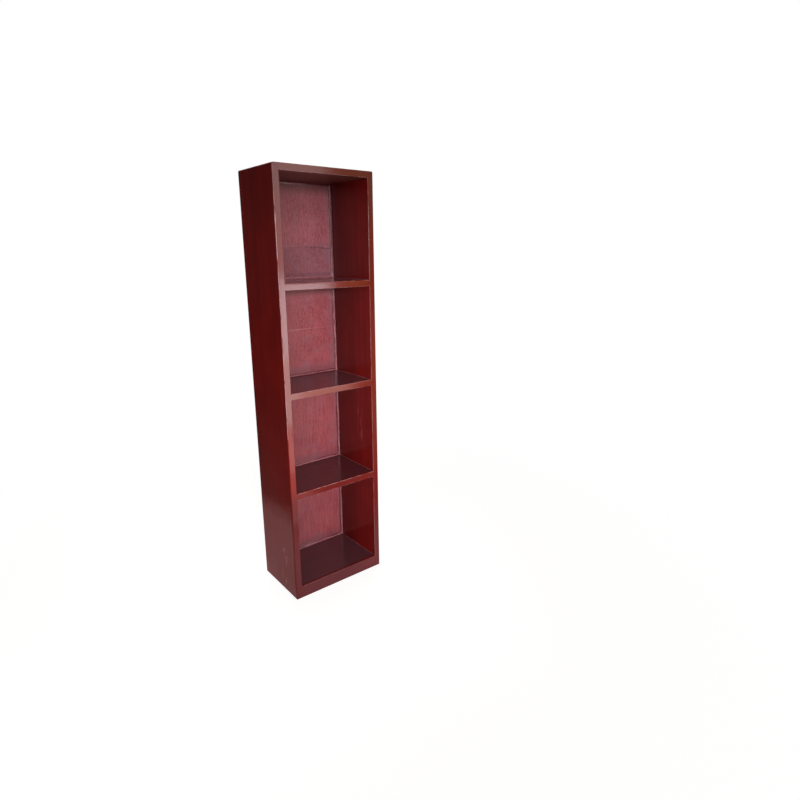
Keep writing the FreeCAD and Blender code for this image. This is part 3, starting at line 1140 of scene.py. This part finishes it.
def joint_filler(floor):
    """The two strips of one bay, cut up and wiped thin."""
    bm = bmesh.new()
    for side in (-1, 1):
        smear(bm, side, floor)
    long_edges = [edge for edge in bm.edges if edge.calc_length() > LONG_EDGE]
    bmesh.ops.subdivide_edges(bm, edges=long_edges, cuts=SMEAR_CUTS)
    for vert in bm.verts:
        share = WIPED_MEAN + WIPED_PART * noise.noise(vert.co * WIPED_WAVE)
        vert.co.x = math.copysign(INSIDE - (INSIDE - abs(vert.co.x)) * share, vert.co.x)
        vert.co.z = floor + (vert.co.z - floor) * share
    bmesh.ops.recalc_face_normals(bm, faces=bm.faces[:])
    return bm


def smeared_filler():
    """Filler wiped thin under lacquer: pale and broken, with the red showing through."""
    material, shader, position = start_material("smeared_filler")
    film = fill_group(lacquer_film, {"Position": position})
    breaks = cloud(position, SMEAR_SCALE, detail=3.0, distortion=0.4)
    broken = tint(fade(breaks, *SMEAR_SPREAD), SMEAR_RED, SMEAR_PALE)
    join(broken, shader, "Base Color")
    join(span(film["Smear"], *SMEAR_ROUGHNESS), shader, "Roughness")
    bump(shader, breaks, SMEAR_RELIEF)
    return material


SMEAR_FINISH = smeared_filler()
for bay, (low, high) in BAYS.items():
    smears = make_piece(bay + "_bay_joint_filler", joint_filler(low), SMEAR_FINISH)
    shade_soft(smears, FILLER_SOFTNESS)


# Floor
# A plain pale floor that fades to white with distance and keeps the shadow of the case. In reflections
# it is dark to the left of the case, like the room that the outer side mirrors.
FLOOR_REACH = 8.0
FLOOR_SIDES = 64
FLOOR_PALE = paint(176, 174, 172)
FLOOR_DARK = paint(70, 66, 64)
FLOOR_ROUGHNESS = 0.9
FLOOR_LIFT = 0.84
PALE_EDGE = (-0.5, -0.34)
WHITE = (1.0, 1.0, 1.0, 1.0)
WHITE_REACH = (0.5, 1.6)
MIRROR_WHITE = 0.5
MIRROR_COOL = (0.66, 0.8, 0.95, 1.0)
COOL_LIFT = 0.6
COOL_EDGE = (-0.2, -0.1)
COOL_REACH = (0.8, 0.2)
MIRROR_WARM = (1.0, 0.75, 0.4, 1.0)
WARM_REACH = (0.55, 0.85)


def in_mirrors(ray):
    """Whether a ray comes from a reflection or through glass."""
    return calc("MAXIMUM", ray["Is Glossy Ray"], ray["Is Transmission Ray"])


def floor_finish():
    """Pale matt floor, lifted to white for the eye and, in part, for reflections."""
    material, shader, position = start_material("pale_floor")
    place = axes(position)
    distance = put("VectorMath", {0: position}, operation="LENGTH").outputs["Value"]
    ray = source(material.node_tree, "LightPath").outputs
    eye = ray["Is Camera Ray"]
    pale = fade(place["X"], *PALE_EDGE)
    shown = calc("MAXIMUM", eye, pale)
    join(tint(shown, FLOOR_DARK, FLOOR_PALE), shader, "Base Color")
    shader.inputs["Roughness"].default_value = FLOOR_ROUGHNESS
    shader.inputs["Specular IOR Level"].default_value = 0.0
    mirror = times(in_mirrors(ray), pale)
    beside = fade(place["X"], *COOL_EDGE)
    cool = times(mirror, beside, fade(distance, *COOL_REACH))
    lift = calc("MAXIMUM", times(eye, FLOOR_LIFT), times(cool, COOL_LIFT))
    lifted = put("Emission", {"Strength": lift, "Color": tint(cool, WHITE, MIRROR_COOL)})
    near = put("AddShader", {0: shader.outputs[0], 1: lifted.outputs[0]})
    far = fade(distance, *WHITE_REACH)
    share = calc("MAXIMUM", times(eye, far), times(mirror, far, MIRROR_WHITE))
    warm = times(fade(place["X"], *WARM_REACH), mirror)
    white = put("Emission", {"Color": tint(warm, WHITE, MIRROR_WARM)})
    both = put("MixShader", {0: share, 1: near.outputs[0], 2: white.outputs[0]})
    join(both.outputs[0], material.node_tree.nodes["Material Output"], "Surface")
    return material


floor_mesh = bmesh.new()
bmesh.ops.create_circle(floor_mesh, cap_ends=True, segments=FLOOR_SIDES, radius=FLOOR_REACH)
floor_data = bpy.data.meshes.new("floor")
floor_mesh.to_mesh(floor_data)
floor_mesh.free()
floor_data.materials.append(floor_finish())
floor = bpy.data.objects.new("floor", floor_data)
bpy.context.scene.collection.objects.link(floor)


# Light
# A lamp beside the camera and a weak one above light the case, and a strip glows to its left. The panes
# of a tall doorway to the right show only in reflections, and pools of its light lie on the floor. The
# room is dim, and dark to the rear left.
LAMP_PLACE = Vector((-0.9, -2.2, 1.05))
LAMP_AIM = Vector((-0.16, FRONT, 0.55))
TOP_LAMP_PLACE = Vector((0.05, 0.12, 2.7))
TOP_LAMP_AIM = Vector((0.0, 0.0, TOP))
LAMP_RADIUS = 0.24
STRIP_PLACE = Vector((-1.35, -0.62, 0.36))
STRIP_SIZE = (0.14, 0.7)
DOORWAY_WALL = -1.62
DOORWAY_SIDES = (0.52, 0.94)
DOORWAY_TOP = 1.7
DOORWAY_TRANSOM = 0.855
DOORWAY_SILL = 0.4
DOORWAY_STILE = 0.71
DOORWAY_FAR = 1.08
AMBER_SIDES = (1.03, 1.2)
AMBER_LEVELS = (0.7, 0.92)
POOL_HEIGHT = 0.004
POOL_TONE = (1.0, 0.84, 0.8)


def hang(name, light, place, aim):
    """Puts a lamp in its place and turns it to face along its aim, unseen by the camera."""
    lamp = bpy.data.objects.new(name, light)
    lamp.matrix_world = Matrix.Translation(place) @ aim.to_track_quat("-Z", "Y").to_matrix().to_4x4()
    lamp.visible_camera = False
    bpy.context.scene.collection.objects.link(lamp)
    return lamp


def spotlight(name, place, target, spread, level):
    """A round soft-edged lamp that lights its target to a level, where 1 shows a colour as written."""
    aim = target - place
    light = bpy.data.lights.new(name, "SPOT")
    light.shadow_soft_size = LAMP_RADIUS
    light.spot_size = math.radians(spread)
    light.spot_blend = 1.0
    light.energy = level * 4 * (math.pi * aim.length) ** 2
    hang(name, light, place, aim)


def soft_box(name, centre, aim, size, glow, tone=(1.0, 1.0, 1.0)):
    """A rectangular lamp, of even brightness over its face."""
    light = bpy.data.lights.new(name, "AREA")
    light.shape = "RECTANGLE"
    light.size, light.size_y = size
    light.energy = glow * math.pi * light.size * light.size_y
    light.color = tone
    return hang(name, light, centre, aim)


def pane(name, across, up, glow, tone):
    """One pane of the doorway, which shows in reflections and lights nothing else."""
    centre = Vector((sum(across) / 2, DOORWAY_WALL, sum(up) / 2))
    size = (across[1] - across[0], up[1] - up[0])
    glass = soft_box("doorway_" + name, centre, Vector((0, 1, 0)), size, glow, tone)
    glass.visible_diffuse = False


def pool(name, centre, size, glow):
    """A pool of light that the doorway throws on the floor."""
    soft_box("pool_" + name, Vector((*centre, POOL_HEIGHT)), Vector((0, 0, 1)), size, glow, POOL_TONE)


spotlight("lamp", LAMP_PLACE, LAMP_AIM, spread=39, level=0.76)
spotlight("top_lamp", TOP_LAMP_PLACE, TOP_LAMP_AIM, spread=26, level=0.6)
pane("upper", DOORWAY_SIDES, (DOORWAY_TRANSOM, DOORWAY_TOP), glow=2.1, tone=(1.0, 0.93, 0.9))
pane("middle", DOORWAY_SIDES, (DOORWAY_SILL, DOORWAY_TRANSOM), glow=6.1, tone=(1.0, 1.0, 1.06))
pane("lower_left", (DOORWAY_SIDES[0], DOORWAY_STILE), (0.0, DOORWAY_SILL), glow=4.8,
     tone=(1.0, 0.97, 0.96))
pane("lower_right", (DOORWAY_STILE, DOORWAY_FAR), (0.0, DOORWAY_SILL), glow=2.5, tone=(1.0, 0.9, 0.8))
pane("amber", AMBER_SIDES, AMBER_LEVELS, glow=0.55, tone=(1.0, 0.82, 0.2))
pool("near", centre=(0.15, -0.76), size=(0.24, 0.48), glow=0.75)
pool("far", centre=(0.4, -1.28), size=(0.36, 0.68), glow=2.0)
soft_box("strip", STRIP_PLACE, Vector((-STRIP_PLACE.x, -STRIP_PLACE.y, 0)), STRIP_SIZE, glow=6.0)

ROOM_FRONT = 0.3
ROOM_LEFT = 0.6
ROOM_OVERHEAD = 0.4
ROOM_DIM = 0.05
ROOM_BACKDROP = 0.9
ROOM_WARM_LOW = (0.7, 0.55, 0.25, 1.0)
ROOM_WARM_HIGH = (1.7, 1.7, 0.95, 1.0)
LEFT_TURN = (0.1, -0.6)
FRONT_TURN = (0.0, -0.3)
OVERHEAD_TURN = (0.15, 0.95)
REAR_TURN = (0.0, 0.3)
REAR_RIGHT_TURN = (-0.1, 0.1)
WARM_RIGHT_TURN = (0.4, 0.6)
WARM_FRONT_TURN = (-0.2, -0.5)
WARM_RISE = (-0.08, 0.12)


def dim_room():
    """The room all round: white to the eye, lit in front and to the rear right, warm to the right."""
    room = bpy.data.worlds.new("room")
    room.use_nodes = True
    tree = room.node_tree
    toward = axes(source(tree, "TexCoord").outputs["Generated"])
    ray = source(tree, "LightPath").outputs
    eye = ray["Is Camera Ray"]
    side_glow = span(fade(toward["X"], *LEFT_TURN), ROOM_FRONT, ROOM_LEFT)
    overhead = span(fade(toward["Z"], *OVERHEAD_TURN), 1.0, ROOM_OVERHEAD)
    front_glow = times(fade(toward["Y"], *FRONT_TURN), side_glow, overhead)
    behind = times(fade(toward["Y"], *REAR_TURN), fade(toward["X"], *REAR_RIGHT_TURN))
    rear_glow = calc("ADD", times(behind, ROOM_BACKDROP), ROOM_DIM)
    glow = calc("ADD", front_glow, rear_glow)
    seen = calc("MAXIMUM", eye, times(in_mirrors(ray), behind))
    to_right = fade(toward["X"], *WARM_RIGHT_TURN)
    to_front = fade(toward["Y"], *WARM_FRONT_TURN)
    warm = times(to_right, to_front, calc("SUBTRACT", 1.0, eye))
    warm_tone = tint(fade(toward["Z"], *WARM_RISE), ROOM_WARM_LOW, ROOM_WARM_HIGH)
    background = tree.nodes["Background"]
    join(tint(warm, WHITE, warm_tone), background, "Color")
    join(tint_value(seen, glow, 1.0), background, "Strength")
    return room


bpy.context.scene.world = dim_room()


# Camera
# Held a metre above the floor, in front of the case and to its left, and tipped a little down. Its
# place, lens and the point where its axis meets the image were fitted to the edges of the case.
IMAGE_WIDTH = 800
FOCAL_LENGTH = 551.8
AXIS_AT = (401.4, 387.3)
SENSOR_WIDTH = 36.0
CAMERA_PLACE = (-0.8139, -1.4178, 1.008)
CAMERA_TURN = -38.95
CAMERA_DIP = 13.98
CAMERA_ROLL = -0.37

camera = bpy.data.cameras.new("camera")
camera.sensor_width = SENSOR_WIDTH
camera.lens = FOCAL_LENGTH / IMAGE_WIDTH * SENSOR_WIDTH
camera.shift_x = 0.5 - AXIS_AT[0] / IMAGE_WIDTH
camera.shift_y = AXIS_AT[1] / IMAGE_WIDTH - 0.5
camera_object = bpy.data.objects.new("camera", camera)
heading = Matrix.Rotation(math.radians(CAMERA_TURN), 4, "Z")
dip = Matrix.Rotation(math.radians(90 - CAMERA_DIP), 4, "X")
roll = Matrix.Rotation(math.radians(CAMERA_ROLL), 4, "Z")
camera_object.matrix_world = Matrix.Translation(CAMERA_PLACE) @ heading @ dip @ roll
bpy.context.scene.collection.objects.link(camera_object)
bpy.context.scene.camera = camera_object
bpy.context.scene.view_settings.view_transform = "Standard"
